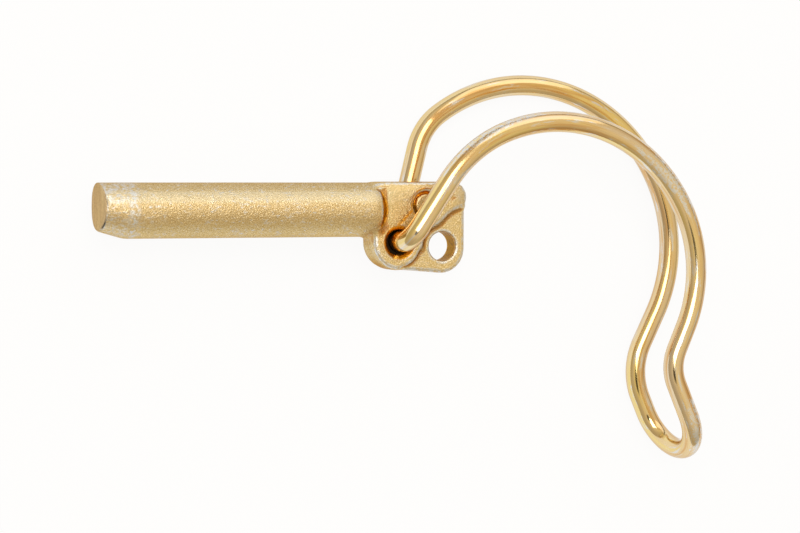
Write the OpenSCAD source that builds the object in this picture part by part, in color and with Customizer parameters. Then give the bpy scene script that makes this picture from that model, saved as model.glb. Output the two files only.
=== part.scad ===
// Shaft-locking lynch pin: a forged round pin with an offset flat head, and a
// round bow bent from one length of spring wire that swings in the head.
//
// Frame: the origin is on the shank's axis, where its plain round ends under
// the head. The shank runs along -X to its nose, the head lies on the +X side,
// its flat faces look along +Z and -Z, and the bow swings in planes parallel
// to XY.
// All lengths are millimetres, all angles are degrees.

/* [Shank] */
// Diameter of the round shank
shank_d = 8; // [7:0.5:12]
// Length from the end of the plain round to the nose
shank_l = 41.55; // [38:0.05:60]
// Length of the ramp under the nose
nose_l = 3.9; // [2:0.1:6]
// How much the ramp takes off the underside at the nose
nose_cut = 1.1; // [0.4:0.1:2]
// Chamfer around the end face of the nose
nose_rim = 0.35; // [0.1:0.05:0.8]
// Length of the slight taper between the plain round and the shoulder
lead_l = 0.9; // [0.3:0.1:1.5]
// How far in the slight taper drops
lead_drop = 0.25; // [0.1:0.05:0.5]
// Length of the sloped shoulder where the shank drops to the head
shoulder_l = 1; // [0.4:0.1:2]
// How far in the sloped shoulder drops
shoulder_drop = 1.25; // [0.5:0.05:2]

/* [Head] */
// Thickness of the pads that carry the pivots
pad_t = 5; // [4.2:0.1:6]
// Thickness of the thin plate around the cord eye
plate_t = 3.4; // [2.4:0.1:4]
// Distance of the near pivot from the end of the plain round
pivot_a_x = 4.1; // [4.1:0.1:7]
// Depth of the near pivot below the underside of the shank
pivot_a_drop = 0.8; // [0:0.1:3]
// Distance of the far pivot along the head from the near pivot
pivot_b_dx = 4.3; // [3.5:0.1:7]
// Depth of the far pivot below the top edge of the head
pivot_b_depth = 3.25; // [3:0.05:5]
// Wall around the near pivot on the outer side
pivot_wall = 2.15; // [1:0.05:3]
// Wall around the near pivot on the side of the thin plate
ring_wall = 1.75; // [0.8:0.05:2.5]
// Width of the countersink at each pivot hole
sink_w = 0.6; // [0.2:0.1:0.8]
// Radius of the boss at the top corner of the head
boss_r = 2.15; // [1.5:0.05:2.5]
// How far the boss stands out past the end of the head
boss_proud = 0.15; // [0:0.05:0.5]
// Radius of the hollow between the pads
recess_r = 5.3; // [4.6:0.1:6]
// How far the hollow's middle lies past the end of the head
recess_past = 0.6; // [0:0.1:1.5]
// How far the hollow reaches up into the boss
recess_rise = 0.6; // [0.2:0.1:1]
// Width of the small stop rib across the near countersink
rib_w = 0.6; // [0.3:0.1:1]
// Direction of the stop rib from the near pivot
rib_dir = -100; // [-130:5:-80]

/* [Cord eye] */
// Diameter of the eye for a retaining cord
eye_d = 4.3; // [3:0.1:5]
// Distance of the eye along the head from the near pivot
eye_dx = 7.2; // [6.6:0.1:10]
// Depth of the eye below the near pivot
eye_drop = 0.65; // [0:0.05:2]
// Wall between the eye and the end of the head
eye_wall = 1.5; // [0.8:0.1:3]
// How far the eye sits above the middle of its rounded corner
eye_rise = 0.3; // [0:0.05:0.6]
// Width of the thin plate around the eye, on the pads' side
eye_land = 1.15; // [0.7:0.05:1.4]

/* [Bow wire] */
// Diameter of the spring wire
wire_d = 3.1; // [2.5:0.1:4]
// Gap between each leg of the bow and the side of the shank
leg_clearance = 0.45; // [0.2:0.05:1.5]
// Radial play of the wire in its pivot hole
hole_play = 0.3; // [0.15:0.05:0.5]
// How much of the play the spring has taken up towards the bow
seat_shift = 0.2; // [0:0.05:0.4]
// Bend radius where a leg turns into its pivot hole
pivot_bend_r = 2.6; // [2.2:0.1:3.2]
// How far the wire's end stays below the far face of the head
end_inset = 0.2; // [0:0.1:1]
// Gap between the far leg's end and the head at the open pivot
open_gap = 0.3; // [0.2:0.05:0.6]
// Chamfer on the ends of the wire
wire_chamfer = 0.3; // [0.1:0.05:0.6]

/* [Near leg] */
// Angle of the near leg above the shank's axis where it leaves the pivot
near_heading = 55.5; // [45:0.5:65]
// Straight stem from the pivot to the arch
near_stem = 10.7; // [6:0.1:16]
// First arch bend of the near leg, radius
near_rise_r = 20; // [14:0.5:30]
// First arch bend of the near leg, angle
near_rise_a = 34; // [20:1:50]
// Middle arch bend of the near leg, angle
near_crown_a = 87; // [70:1:100]
// Last arch bend of the near leg, radius
near_fall_r = 21; // [14:0.5:30]
// Last arch bend of the near leg, angle
near_fall_a = 48; // [30:1:60]
// Straight between the arch and the hook
near_run = 3.8; // [1:0.1:8]
// Reverse bend of the hook, radius
near_hook_r = 6.5; // [4:0.5:12]
// Reverse bend of the hook, angle
near_hook_a = 47; // [30:1:60]
// Straight between the hook and the end loop
near_tail = 5.4; // [2:0.1:10]
// How far the hook's middle clears the nose, measured from the near pivot
hook_past = 2.35; // [1:0.05:8]

/* [Far leg] */
// Bend beside the far pivot's stem, radius
far_knee_r = 9; // [5:0.5:14]
// First arch bend of the far leg, radius
far_rise_r = 24.5; // [16:0.5:34]
// First arch bend of the far leg, angle
far_rise_a = 43; // [30:1:55]
// How much wider the far leg's middle arch bend is than the near leg's
far_crown_extra = 2; // [0:0.1:5]
// Middle arch bend of the far leg, angle
far_crown_a = 64; // [50:1:75]
// Last arch bend of the far leg, radius
far_fall_r = 23; // [14:0.5:32]
// Last arch bend of the far leg, angle
far_fall_a = 45; // [30:1:60]
// Straight between the arch and the hook
far_run = 5.2; // [1:0.1:10]
// Reverse bend of the hook, radius
far_hook_r = 10; // [5:0.5:14]
// Reverse bend of the hook, angle
far_hook_a = 50; // [30:1:60]
// Straight between the hook and the end loop
far_tail = 2.6; // [1:0.1:8]
// Sideways offset of the far leg at the end loop
loop_skew = 1; // [0:0.1:3]

/* [Hidden] */
$fn = 96;

shank_r = shank_d / 2;
wire_r = wire_d / 2;
hole_r = wire_r + hole_play;
sink_r = hole_r + sink_w;
eye_r = eye_d / 2;
pad_z = pad_t / 2;
plate_z = plate_t / 2;

// Pivots, eye, boss and rounded corner of the head, in the XY plane
pivot_a = [pivot_a_x, -shank_r - pivot_a_drop];
pivot_b = [pivot_a.x + pivot_b_dx, shank_r - pivot_b_depth];
eye = [pivot_a.x + eye_dx, pivot_a.y - eye_drop];
corner_r = eye_r + eye_wall;
corner = [eye.x, eye.y - eye_rise];
head_x = corner.x + corner_r;
boss = [head_x + boss_proud - boss_r, shank_r - boss_r];
head_r = hole_r + pivot_wall;
ring_r = hole_r + ring_wall;
recess = [head_x + recess_past, boss.y - boss_r + recess_rise - recess_r];
eye_pocket_r = eye_r + eye_land;

// The head's straight edges run a hair inside its rounds, so that each meets
// its round at a clean corner
edge_inset = 0.02;
// The head's root ends inside the round of the shank's taper
root_cover = 0.1;
taper_r = shank_r - lead_drop;
root_y = root_cover - sqrt(taper_r * taper_r - pad_z * pad_z);
// The nose's cone has its tip this far above the shank's top line
nose_lift = 0.15;
// The stop rib is rooted below the countersink and ends just under the face,
// just outside the hole
rib_root = 0.3;
rib_low = 0.09;
rib_back = 0.05;

// The two legs stand either side of the shank
leg_z = shank_r + leg_clearance + wire_r;
// Slack for cutters that have to run past a face
slack = 1;
// How far a joint's collar stands out of the wire, and the collar's length
joint_lap = 0.01;
joint_l = 0.2;

function unit(a) = [cos(a), sin(a)];
function right_of(a) = [sin(a), -cos(a)];
function dot2(a, b) = a.x * b.x + a.y * b.y;

// --- head ---------------------------------------------------------------

// Direction of the outward normal of the lower common tangent of two discs
function tangent_normal(c1, r1, c2, r2) =
    let (d = c2 - c1)
    atan2(d.y, d.x) + asin((r1 - r2) / norm(d)) - 90;

module head_outline() {
    n = tangent_normal(pivot_a, head_r - edge_inset, corner, corner_r - edge_inset);
    translate(pivot_a) circle(r = head_r);
    translate(corner) circle(r = corner_r);
    translate(boss) circle(r = boss_r);
    left = pivot_a.x - head_r + edge_inset;
    top = shank_r - edge_inset;
    right = head_x - edge_inset;
    polygon([
        [left, pivot_a.y],
        [left, root_y],
        [lead_l, root_y],
        [lead_l, top],
        [boss.x, top],
        [right, boss.y],
        [right, corner.y],
        corner + (corner_r - edge_inset) * unit(n),
        pivot_a + (head_r - edge_inset) * unit(n)
    ]);
}

// Area where the head is only as thick as the plate
module recess_outline() {
    difference() {
        union() {
            translate(recess) circle(r = recess_r);
            translate(corner) circle(r = eye_pocket_r);
            polygon([
                pivot_a,
                corner,
                [head_x + slack, corner.y],
                [head_x + slack, corner.y - corner_r - slack],
                [pivot_a.x, corner.y - corner_r - slack]
            ]);
        }
        translate(pivot_a) circle(r = ring_r);
    }
}

module head() {
    difference() {
        linear_extrude(pad_t, center = true) head_outline();
        for (side = [0, 1]) mirror([0, 0, side])
            translate([0, 0, plate_z]) linear_extrude(pad_z) recess_outline();
    }
}

module pivot_hole(at) {
    translate([at.x, at.y, -pad_z - slack]) cylinder(r = hole_r, h = pad_t + 2 * slack);
    for (side = [0, 1]) mirror([0, 0, side])
        translate([at.x, at.y, pad_z - sink_w])
            cylinder(r1 = hole_r, r2 = sink_r + slack, h = sink_w + slack);
}

// Small rib left standing across the near countersink
module stop_rib() {
    translate([pivot_a.x, pivot_a.y, pad_z - sink_w - rib_root]) rotate([0, 0, rib_dir])
        translate([hole_r + rib_back, -rib_w / 2, 0])
            cube([sink_w, rib_w, sink_w + rib_root - rib_low]);
}

// --- shank ----------------------------------------------------------------

// The nose is cut by a cone that leans so that its top line stays level with
// the top of the shank: the ramp is all on the underside.
module shank() {
    lean = atan2(nose_cut, nose_l) / 2;
    end_r = shank_r + (nose_lift - nose_cut) / 2;
    reach = 2 * end_r / tan(2 * lean);
    long = shank_l + reach + shank_d;
    intersection() {
        translate([-shank_l, 0, 0]) rotate([0, 90, 0]) cylinder(r = shank_r, h = shank_l);
        translate([-shank_l - reach, shank_r + nose_lift, 0]) rotate([0, 0, -lean]) rotate([0, 90, 0])
            cylinder(r1 = 0, r2 = long * tan(lean), h = long);
        translate([-shank_l, shank_r - end_r, 0]) rotate([0, 90, 0])
            cylinder(r1 = end_r - nose_rim, r2 = end_r - nose_rim + shank_l, h = shank_l);
    }
}

module pin() {
    color("goldenrod") {
        difference() {
            union() {
                shank();
                rotate([0, 90, 0]) cylinder(r1 = shank_r, r2 = taper_r, h = lead_l);
                translate([lead_l, 0, 0]) rotate([0, 90, 0])
                    cylinder(r1 = taper_r, r2 = taper_r - shoulder_drop, h = shoulder_l);
                head();
            }
            pivot_hole(pivot_a);
            pivot_hole(pivot_b);
            translate([eye.x, eye.y, -pad_z]) cylinder(r = eye_r, h = pad_t);
        }
        stop_rib();
    }
}

// --- bow ------------------------------------------------------------------

// A leg is a bending table: each row is a straight length, then a bend of the
// given radius and angle (positive to the left). A state is [x, y, heading].
function after_straight(s, l) = [s.x + l * cos(s[2]), s.y + l * sin(s[2]), s[2]];
function after_bend(s, r, a) =
    let (side = sign(a), c = [s.x, s.y] - side * r * right_of(s[2]),
         p = c + side * r * right_of(s[2] + a))
    [p.x, p.y, s[2] + a];
function after_rows(s, rows, count) =
    count == 0 ? s
    : let (b = after_rows(s, rows, count - 1), row = rows[count - 1])
      after_bend(after_straight(b, row[0]), row[1], row[2]);

// Two stretches of wire meet inside a short collar that is a hair wider than
// the wire, so that they merge into one solid.
module wire_joint() {
    rotate([0, 90, 0]) cylinder(r = wire_r + joint_lap, h = joint_l, center = true);
}

module wire_straight(l) {
    wire_joint();
    rotate([0, 90, 0]) cylinder(r = wire_r, h = l);
}

module wire_bend(r, a) {
    wire_joint();
    translate([0, sign(a) * r, 0]) rotate([0, 0, a > 0 ? -90 : 90 + a])
        rotate_extrude(angle = abs(a)) translate([r, 0]) circle(r = wire_r);
}

module wire_rows(start, rows) {
    for (i = [0 : len(rows) - 1]) {
        s = after_rows(start, rows, i);
        translate([s.x, s.y, 0]) rotate([0, 0, s[2]]) {
            if (rows[i][0] > 0) wire_straight(rows[i][0]);
            if (rows[i][2] != 0) translate([rows[i][0], 0, 0]) wire_bend(rows[i][1], rows[i][2]);
        }
    }
    last = after_rows(start, rows, len(rows));
    translate([last.x, last.y, 0]) rotate([0, 0, last[2]]) wire_joint();
}

// The end of a leg turns down into its pivot and stops at height end_z
module wire_foot(at, heading, end_z) {
    bend_z = leg_z - pivot_bend_r;
    translate([at.x, at.y, 0]) rotate([0, 0, heading]) {
        translate([pivot_bend_r, 0, bend_z]) rotate([90, 0, 0]) rotate([0, 0, 90])
            rotate_extrude(angle = 90) translate([pivot_bend_r, 0]) circle(r = wire_r);
        translate([0, 0, bend_z]) rotate([0, 90, 0]) wire_joint();
        translate([0, 0, end_z + wire_chamfer])
            cylinder(r = wire_r, h = bend_z - end_z - wire_chamfer);
        translate([0, 0, end_z])
            cylinder(r1 = wire_r - wire_chamfer, r2 = wire_r, h = wire_chamfer);
    }
}

// Near leg: from the near pivot's axis to the end loop
near_foot = pivot_a + seat_shift * unit(near_heading);
near_start = [near_foot.x, near_foot.y, near_heading];
function near_rows(crown_r) = [
    [near_stem, near_rise_r, -near_rise_a],
    [0, crown_r, -near_crown_a],
    [0, near_fall_r, -near_fall_a],
    [near_run, near_hook_r, near_hook_a],
    [near_tail, 0, 0]
];

// The crown's radius follows from the shank: it puts the middle of the hook
// just past the nose, hook_reach away from the near pivot.
hook_reach = shank_l + pivot_a.x + hook_past;
function hook_middle(crown_r) =
    let (rows = near_rows(crown_r), s = after_rows(near_start, rows, 3))
    after_bend(after_straight(s, near_run), near_hook_r, near_hook_a / 2);
function flat(s) = [s.x, s.y];
hook_base = flat(hook_middle(0)) - near_foot;
hook_gain = flat(hook_middle(1)) - flat(hook_middle(0));
gain_2 = dot2(hook_gain, hook_gain);
gain_base = dot2(hook_gain, hook_base);
crown_r = (-gain_base + sqrt(gain_base * gain_base
    - gain_2 * (dot2(hook_base, hook_base) - hook_reach * hook_reach))) / gain_2;
near_end = after_rows(near_start, near_rows(crown_r), 5);

// Far leg: from the end loop back to the far pivot
far_start = concat(flat(near_end) + loop_skew * right_of(near_end[2]), near_end[2] + 180);
far_rows = [
    [far_tail, far_hook_r, -far_hook_a],
    [far_run, far_fall_r, far_fall_a],
    [0, crown_r + far_crown_extra, far_crown_a],
    [0, far_rise_r, far_rise_a]
];
far_bent = after_rows(far_start, far_rows, 4);
// The knee and the straight stem after it are worked out so that they land on
// the far pivot: the stem is the tangent from the pivot to the knee's circle.
knee_c = flat(far_bent) - far_knee_r * right_of(far_bent[2]);
knee_gap = norm(knee_c - pivot_b);
stem_heading = atan2(knee_c.y - pivot_b.y, knee_c.x - pivot_b.x) + asin(far_knee_r / knee_gap);
far_foot = pivot_b + seat_shift * unit(stem_heading);
far_stem = sqrt(knee_gap * knee_gap - far_knee_r * far_knee_r) - seat_shift;
knee_turn = stem_heading + 180 - far_bent[2];
far_all = concat(far_rows, [[0, far_knee_r, knee_turn], [far_stem - pivot_bend_r, 0, 0]]);

module end_loop() {
    middle = (flat(near_end) + flat(far_start)) / 2;
    loop_r = norm([2 * leg_z, loop_skew]) / 2;
    tilt = atan2(loop_skew, 2 * leg_z);
    translate([middle.x, middle.y, 0]) rotate([0, 0, near_end[2]]) rotate([-tilt, 0, 0])
        rotate([90, 0, 0]) rotate([0, 0, -90])
            rotate_extrude(angle = 180) translate([loop_r, 0]) circle(r = wire_r);
}

module bow() {
    $fn = 32;
    stem_start = after_straight(near_start, pivot_bend_r);
    near_all = near_rows(crown_r);
    short_stem = [[near_stem - pivot_bend_r, near_rise_r, -near_rise_a]];
    color("gold") {
        wire_foot(near_foot, near_heading, -pad_z + end_inset);
        translate([0, 0, leg_z])
            wire_rows(stem_start, concat(short_stem, [for (i = [1 : 4]) near_all[i]]));
        end_loop();
        translate([0, 0, -leg_z]) wire_rows(far_start, far_all);
        mirror([0, 0, 1]) wire_foot(far_foot, stem_heading, pad_z + open_gap);
    }
}

pin();
bow();
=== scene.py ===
"""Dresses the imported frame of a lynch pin: a forged, gold-passivated pin and its bow of bright spring wire."""
import math
from functools import partialmethod
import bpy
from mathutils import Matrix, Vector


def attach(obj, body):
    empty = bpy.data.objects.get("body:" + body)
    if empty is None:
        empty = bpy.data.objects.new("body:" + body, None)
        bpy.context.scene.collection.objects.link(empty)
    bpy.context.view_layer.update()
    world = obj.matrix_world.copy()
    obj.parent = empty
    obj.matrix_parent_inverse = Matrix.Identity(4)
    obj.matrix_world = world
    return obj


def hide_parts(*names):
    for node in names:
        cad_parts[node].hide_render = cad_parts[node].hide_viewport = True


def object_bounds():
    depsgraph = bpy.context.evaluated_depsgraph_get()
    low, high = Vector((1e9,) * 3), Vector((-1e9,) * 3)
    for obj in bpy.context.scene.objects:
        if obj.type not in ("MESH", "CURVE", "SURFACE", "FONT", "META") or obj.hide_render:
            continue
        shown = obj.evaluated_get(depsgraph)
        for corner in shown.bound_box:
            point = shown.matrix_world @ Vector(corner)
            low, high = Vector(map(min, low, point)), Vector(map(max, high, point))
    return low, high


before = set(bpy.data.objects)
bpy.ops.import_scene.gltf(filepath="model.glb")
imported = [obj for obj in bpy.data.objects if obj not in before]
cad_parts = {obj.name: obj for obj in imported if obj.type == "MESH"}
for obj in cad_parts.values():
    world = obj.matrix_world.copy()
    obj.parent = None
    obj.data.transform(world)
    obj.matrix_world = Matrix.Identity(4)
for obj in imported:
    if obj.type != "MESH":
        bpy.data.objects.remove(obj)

from types import SimpleNamespace

import bpy
import numpy as np
from bpy.props import FloatProperty, FloatVectorProperty, IntProperty, PointerProperty
from mathutils import Matrix, Vector

bl_info = {
    "name": "Lynch Pin",
    "version": (1, 0, 0),
    "blender": (4, 5, 0),
    "location": "View3D > Sidebar > Lynch Pin",
    "description": "Makes a shaft-locking lynch pin with its spring-wire bow, and a pale stage",
    "category": "Add Mesh",
}

CAD_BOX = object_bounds()
MM = 1000.0

# --- small forms of the forging, in millimetres ---

# widths over which the creases are rounded
SOFT = SimpleNamespace(taper=0.12, shoulder=0.2, nose=0.18, pocket=0.9, pocket_edge=0.5, ring=1.1, pad_step=0.3,
                       dome=0.2, plate=0.45, top=0.25, sink=0.2, lip=0.22, eye=0.35, rib=0.2)
OUT_OF_REACH = 40.0  # past every edge of the part
BESIDE_PADS = 3.0  # takes the taper and the shoulder away beside the pads
BAR_END = 1.6  # how far the round bar runs on into the head past its taper
NOSE_LIFT = 0.15  # height of the nose cone's top line over the shank's
BLOCK_LOW = -1.0  # lowest point of the head's block under the shank's end
ROOT_LOW = -2.7  # lowest point of the straight under the shank's root
TOP_START = 0.02  # how far over the round the top edge starts to swell
# the near grease is a dark filling, painted shade standing in for the deep shade of its pivot hole
GREASE_PAST = 0.15  # how far the grease reaches into the wall of a pivot hole
GREASE_GAP = 0.08  # gap between the grease and the foot that turns in it
GREASE_LOW = {"near": 0.2, "far": 0.3}  # depth of the grease under the countersinks
TIP_PLAY, TIP_SHORT, TIP_EDGE = 0.22, 0.25, 0.35  # the wire's tip left in the far pivot
RIB_SINK = 0.09  # how far the stop rib lies under the pad's face

# --- small forms of the wire ---

SKIN = 0.006  # how far the shown wire stays inside the solid one, in millimetres
NO_BEND = (1.0, 0.0)  # radius and angle of a step that only runs straight
FOOT_SHADE_DEPTH, FOOT_SHADE_FADE = 1.3, 0.3  # how far the painted shade on the near foot, down in its hole, ends below the head's face
# worn stretches: middle and half length as shares of the wire, strength, and the way that the worn side faces
WORN_STRETCHES = ((0.128, 0.036, 1.15, (-0.70, 0.70, 0.10)), (0.470, 0.028, 0.85, (0.35, -0.35, 0.87)),
                  (0.278, 0.030, 0.85, (0.1, 0.15, 1.0)), (0.690, 0.040, 0.85, (0.7, 0.7, 0.0)))

# --- patterns of the plating: scale, detail, roughness, then distortion and stretch ---

FORGED_CLOUDS = {"grain": (5200, 2, 0.6), "fine": (6000, 2, 0.7), "patch": (620, 5, 0.62, 0.4),
                 "small": (1500, 4, 0.65, 0.3), "broad": (170, 4, 0.6), "gather": (420, 4, 0.6),
                 "scuff": (2600, 5, 0.7, 0.2, (0.55, 1.0, 1.0)), "shear": (1500, 3, 0.6, 0.0, (1.0, 0.1, 1.0))}
WIRE_CLOUDS = {"broad": (240, 4, 0.6), "speck": (2300, 4, 0.65), "streak": (2600, 3, 0.6, 0.0, (1.0, 1.0, 0.035)),
               "lines": (1100, 4, 0.65, 0.0, (1.0, 1.0, 0.035)), "bands": (620, 3, 0.6, 0.0, (1.0, 1.0, 0.06)),
               "fleck": (1700, 5, 0.68, 0.0, (1.0, 1.0, 0.12))}
# painted reflections over the wire's gold, as dark and pale lines along it: pattern, where the shade starts and is
# full, its strength and its tone
WIRE_REFLECTION_LINES = (("bands", 0.50, 0.60, 0.8, (0.92, 0.98, 1.35)), ("bands", 0.46, 0.38, 0.8, (1.05, 1.06, 0.72)),
               ("lines", 0.51, 0.60, 0.8, (0.82, 0.58, 0.30)), ("lines", 0.44, 0.36, 0.7, (1.05, 1.15, 1.45)))
NOSE_BAND = -0.0371  # where the silver band lies along the shank, in metres
GREASE_ROUGH = 0.75  # roughness of the dark grease

# --- room, lights and camera ---

CAMERA_PLACE = Vector((-0.156288, 0.009017, 0.373330))
CAMERA_RIGHT = Vector((0.917903, 0.005298, 0.396768))
CAMERA_UP = Vector((0.012154, 0.999066, -0.041458))
LENS, SENSOR = 123.75, 36.0  # in millimetres
CLIP = (0.01, 20.0)  # nearest and farthest that the camera sees, in metres
FLOOR_GAP, FLOOR_REACH = 0.05, 3000.0  # the floor lies just under the part and runs far out, in millimetres
FLOOR_SHOWN = 0.92  # share of the floor's own white that a camera or a mirror sees
# what the bright wire mirrors: a direction, a tint, and the brightness by the cosine of the angle from it
ROOM = (
    # a lit wall behind the camera, with a dimmer band around it
    ((0.12, 0.20, 0.97), (0.99, 0.845, 0.61),
     ((0.0, 0.50), (0.42, 0.60), (0.60, 0.76), (0.74, 0.76), (0.84, 0.84), (0.999, 0.84))),
    # the dark camera
    ((-0.36, -0.17, 0.92), (1.0, 1.0, 1.0), ((0.0, 1.0), (0.975, 1.0), (0.985, 0.10), (0.9999, 0.10))),
    # a dusky ceiling
    ((0.30, 0.85, -0.42), (1.0, 1.0, 1.0), ((0.0, 1.0), (0.66, 1.0), (0.86, 0.46), (0.999, 0.46))),
)
# soft lights: place, aim and size in metres, and power in watts
SOFTBOXES = {"softbox_front": ((-0.265, 0.255, 0.866), (0.01, 0, 0), (0.58, 0.62), 3.0),
             "softbox_top": ((0.17, 0.40, 0.25), (-0.005, 0, 0), (0.40, 0.44), 0.35)}


# --- sizes and colours ---

def length(name, default, text):
    """A length setting, in metres."""
    return FloatProperty(name=name, description=text, default=default, min=0.0, unit="LENGTH", precision=5)


def turn(name, degrees, text):
    """An angle setting, kept in radians."""
    return FloatProperty(name=name, description=text, default=math.radians(degrees), subtype="ANGLE")


def share(name, default, text):
    """A plain number between 0 and 1."""
    return FloatProperty(name=name, description=text, default=default, min=0.0, max=1.0, subtype="FACTOR")


def colour(name, rgb, text):
    """A colour setting, scene-linear."""
    return FloatVectorProperty(name=name, description=text, default=rgb, size=3, min=0.0, max=1.0, subtype="COLOR")


class PinSizes(bpy.types.PropertyGroup):
    """Sizes of the forged pin"""
    shank_d: length("Shank diameter", 0.008, "Diameter of the round shank")
    shank_l: length("Shank length", 0.04155, "From the end of the plain round to the nose")
    nose_l: length("Nose ramp length", 0.0039, "Length of the ramp under the nose")
    nose_cut: length("Nose ramp depth", 0.0011, "Taken off the underside at the nose")
    nose_rim: length("Nose rim", 0.0002, "Rounding of the nose's sheared rim")
    nose_worn: length("Worn rim", 0.00025, "Extra rounding where the rim is rolled or worn")
    nose_crown: length("Nose crown", 0.020, "Radius of the end face's bulge")
    lead_l: length("Taper length", 0.0009, "Slight taper, length")
    lead_drop: length("Taper drop", 0.00025, "Slight taper, drop")
    shoulder_l: length("Shoulder length", 0.001, "Sloped shoulder, length")
    shoulder_drop: length("Shoulder drop", 0.00125, "Sloped shoulder, drop")
    pad_t: length("Pad thickness", 0.005, "Thickness of the pads")
    plate_t: length("Plate thickness", 0.0034, "Thickness of the plate around the eye")
    pivot_a_x: length("Near pivot, along", 0.0041, "From the end of the plain round")
    pivot_a_drop: length("Near pivot, below", 0.0008, "From the underside of the shank")
    pivot_b_dx: length("Far pivot, along", 0.0043, "From the near pivot")
    pivot_b_depth: length("Far pivot, below", 0.00325, "From the top edge")
    pivot_wall: length("Outer wall", 0.00215, "Wall around the near pivot, outer side")
    ring_wall: length("Ring wall", 0.00175, "Wall around the near pivot, plate's side")
    sink_w: length("Countersink", 0.0006, "Width of the pivots' countersinks")
    boss_r: length("Boss radius", 0.00215, "Radius of the boss at the top corner")
    boss_proud: length("Boss overhang", 0.00015, "Past the end of the head")
    recess_r: length("Hollow radius", 0.0053, "Radius of the hollow between the pads")
    recess_past: length("Hollow offset", 0.0006, "Its middle, past the end of the head")
    recess_rise: length("Hollow rise", 0.0006, "Its reach up into the boss")
    rib_w: length("Rib width", 0.0006, "Width of the stop rib")
    rib_dir: turn("Rib direction", -100, "From the near pivot")
    eye_d: length("Cord eye", 0.0043, "Diameter of the cord eye")
    eye_dx: length("Cord eye, along", 0.0072, "From the near pivot")
    eye_drop: length("Cord eye, below", 0.00065, "From the near pivot")
    eye_wall: length("Eye wall", 0.0015, "Between the eye and the head's end")
    eye_rise: length("Eye rise", 0.0003, "Above the middle of its corner")
    eye_land: length("Eye land", 0.00115, "Width of the thin plate around the eye")
    edge_round: length("Edge rounding", 0.0006, "Rounding of the head's forged edges")
    edge_roll: length("Edge roll", 0.00045, "Extra rounding along the hollow")
    boss_dome: share("Boss dome", 0.09, "How fast the boss falls to its corner")
    swell: share("Swell", 0.3, "Slope of the top edge out of the shank")
    fillet: length("Fillet", 0.0007, "Blend of the shank and the head")
    mesh_step: length("Mesh step", 0.00013, "Spacing of the surface's points")


class BowSizes(bpy.types.PropertyGroup):
    """Sizes of the bow of spring wire"""
    wire_d: length("Wire diameter", 0.0031, "Diameter of the spring wire")
    leg_clearance: length("Leg clearance", 0.00045, "Gap from each leg to the shank")
    hole_play: length("Hole play", 0.0003, "Play of the wire in its pivot holes")
    seat_shift: length("Seat shift", 0.0002, "How far the wire is drawn across its hole")
    pivot_bend_r: length("Pivot bend radius", 0.0026, "Bend of each leg into its pivot")
    end_inset: length("End inset", 0.0002, "Near end, below the head's far face")
    open_gap: length("Open gap", 0.0003, "Gap at the open pivot")
    wire_chamfer: length("Wire chamfer", 0.0003, "Chamfer on the wire's ends")
    near_heading: turn("Near heading", 55.5, "Angle of the near leg at its pivot")
    near_stem: length("Near stem", 0.0107, "Straight from the pivot to the arch")
    near_rise_r: length("Near rise radius", 0.020, "First bend, radius")
    near_rise_a: turn("Near rise angle", 34, "First bend, angle")
    near_crown_a: turn("Near crown angle", 87, "Middle bend, angle")
    near_fall_r: length("Near fall radius", 0.021, "Last bend, radius")
    near_fall_a: turn("Near fall angle", 48, "Last bend, angle")
    near_run: length("Near run", 0.0038, "Straight from the arch to the hook")
    near_hook_r: length("Near hook radius", 0.0065, "Hook, radius")
    near_hook_a: turn("Near hook angle", 47, "Hook, angle")
    near_tail: length("Near tail", 0.0054, "Straight from the hook to the loop")
    hook_past: length("Hook past the nose", 0.00235, "How far the hook's middle clears the nose")
    far_knee_r: length("Far knee radius", 0.009, "Bend beside the far stem")
    far_rise_r: length("Far rise radius", 0.0245, "First bend, radius")
    far_rise_a: turn("Far rise angle", 43, "First bend, angle")
    far_crown_extra: length("Far crown extra", 0.002, "How much wider than the near crown")
    far_crown_a: turn("Far crown angle", 64, "Middle bend, angle")
    far_fall_r: length("Far fall radius", 0.023, "Last bend, radius")
    far_fall_a: turn("Far fall angle", 45, "Last bend, angle")
    far_run: length("Far run", 0.0052, "Straight from the arch to the hook")
    far_hook_r: length("Far hook radius", 0.010, "Hook, radius")
    far_hook_a: turn("Far hook angle", 50, "Hook, angle")
    far_tail: length("Far tail", 0.0026, "Straight from the hook to the loop")
    loop_skew: length("Loop skew", 0.001, "Sideways offset at the end loop")
    sides: IntProperty(name="Sides", description="Faces around the wire", default=56, min=8, max=128)


class Finishes(bpy.types.PropertyGroup):
    """Colours of the plating and the stage"""
    forged_gold: colour("Forged gold", (0.775, 0.610, 0.31), "Passivated zinc on the forging")
    # deep gold: the orange of thick plating, and also painted shade in the concave corners
    deep_gold: colour("Deep gold", (0.50, 0.22, 0.03), "Thicker plating in the corners")
    wire_gold: colour("Wire gold", (0.83, 0.640, 0.33), "Passivated zinc on the wire")
    pit_orange: colour("Pit orange", (0.92, 0.46, 0.02), "Thick plating in the pits and countersinks")
    edge_tint: colour("Edge tint", (0.72, 0.56, 0.36), "Tint of the plating at a low angle")
    rubbed_zinc: colour("Rubbed zinc", (0.76, 0.79, 0.82), "Bare zinc where the gold is gone")
    # a dark colour for grease that is also painted shade deep in the holes, along the nose's near rim and on the
    # wire's foot in its hole
    grime_and_shade: colour("Grime", (0.016, 0.010, 0.006), "Dark grease in the pivots")
    floor: colour("Floor", (0.93, 0.93, 0.93), "Pale floor")


# --- meshes ---

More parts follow.
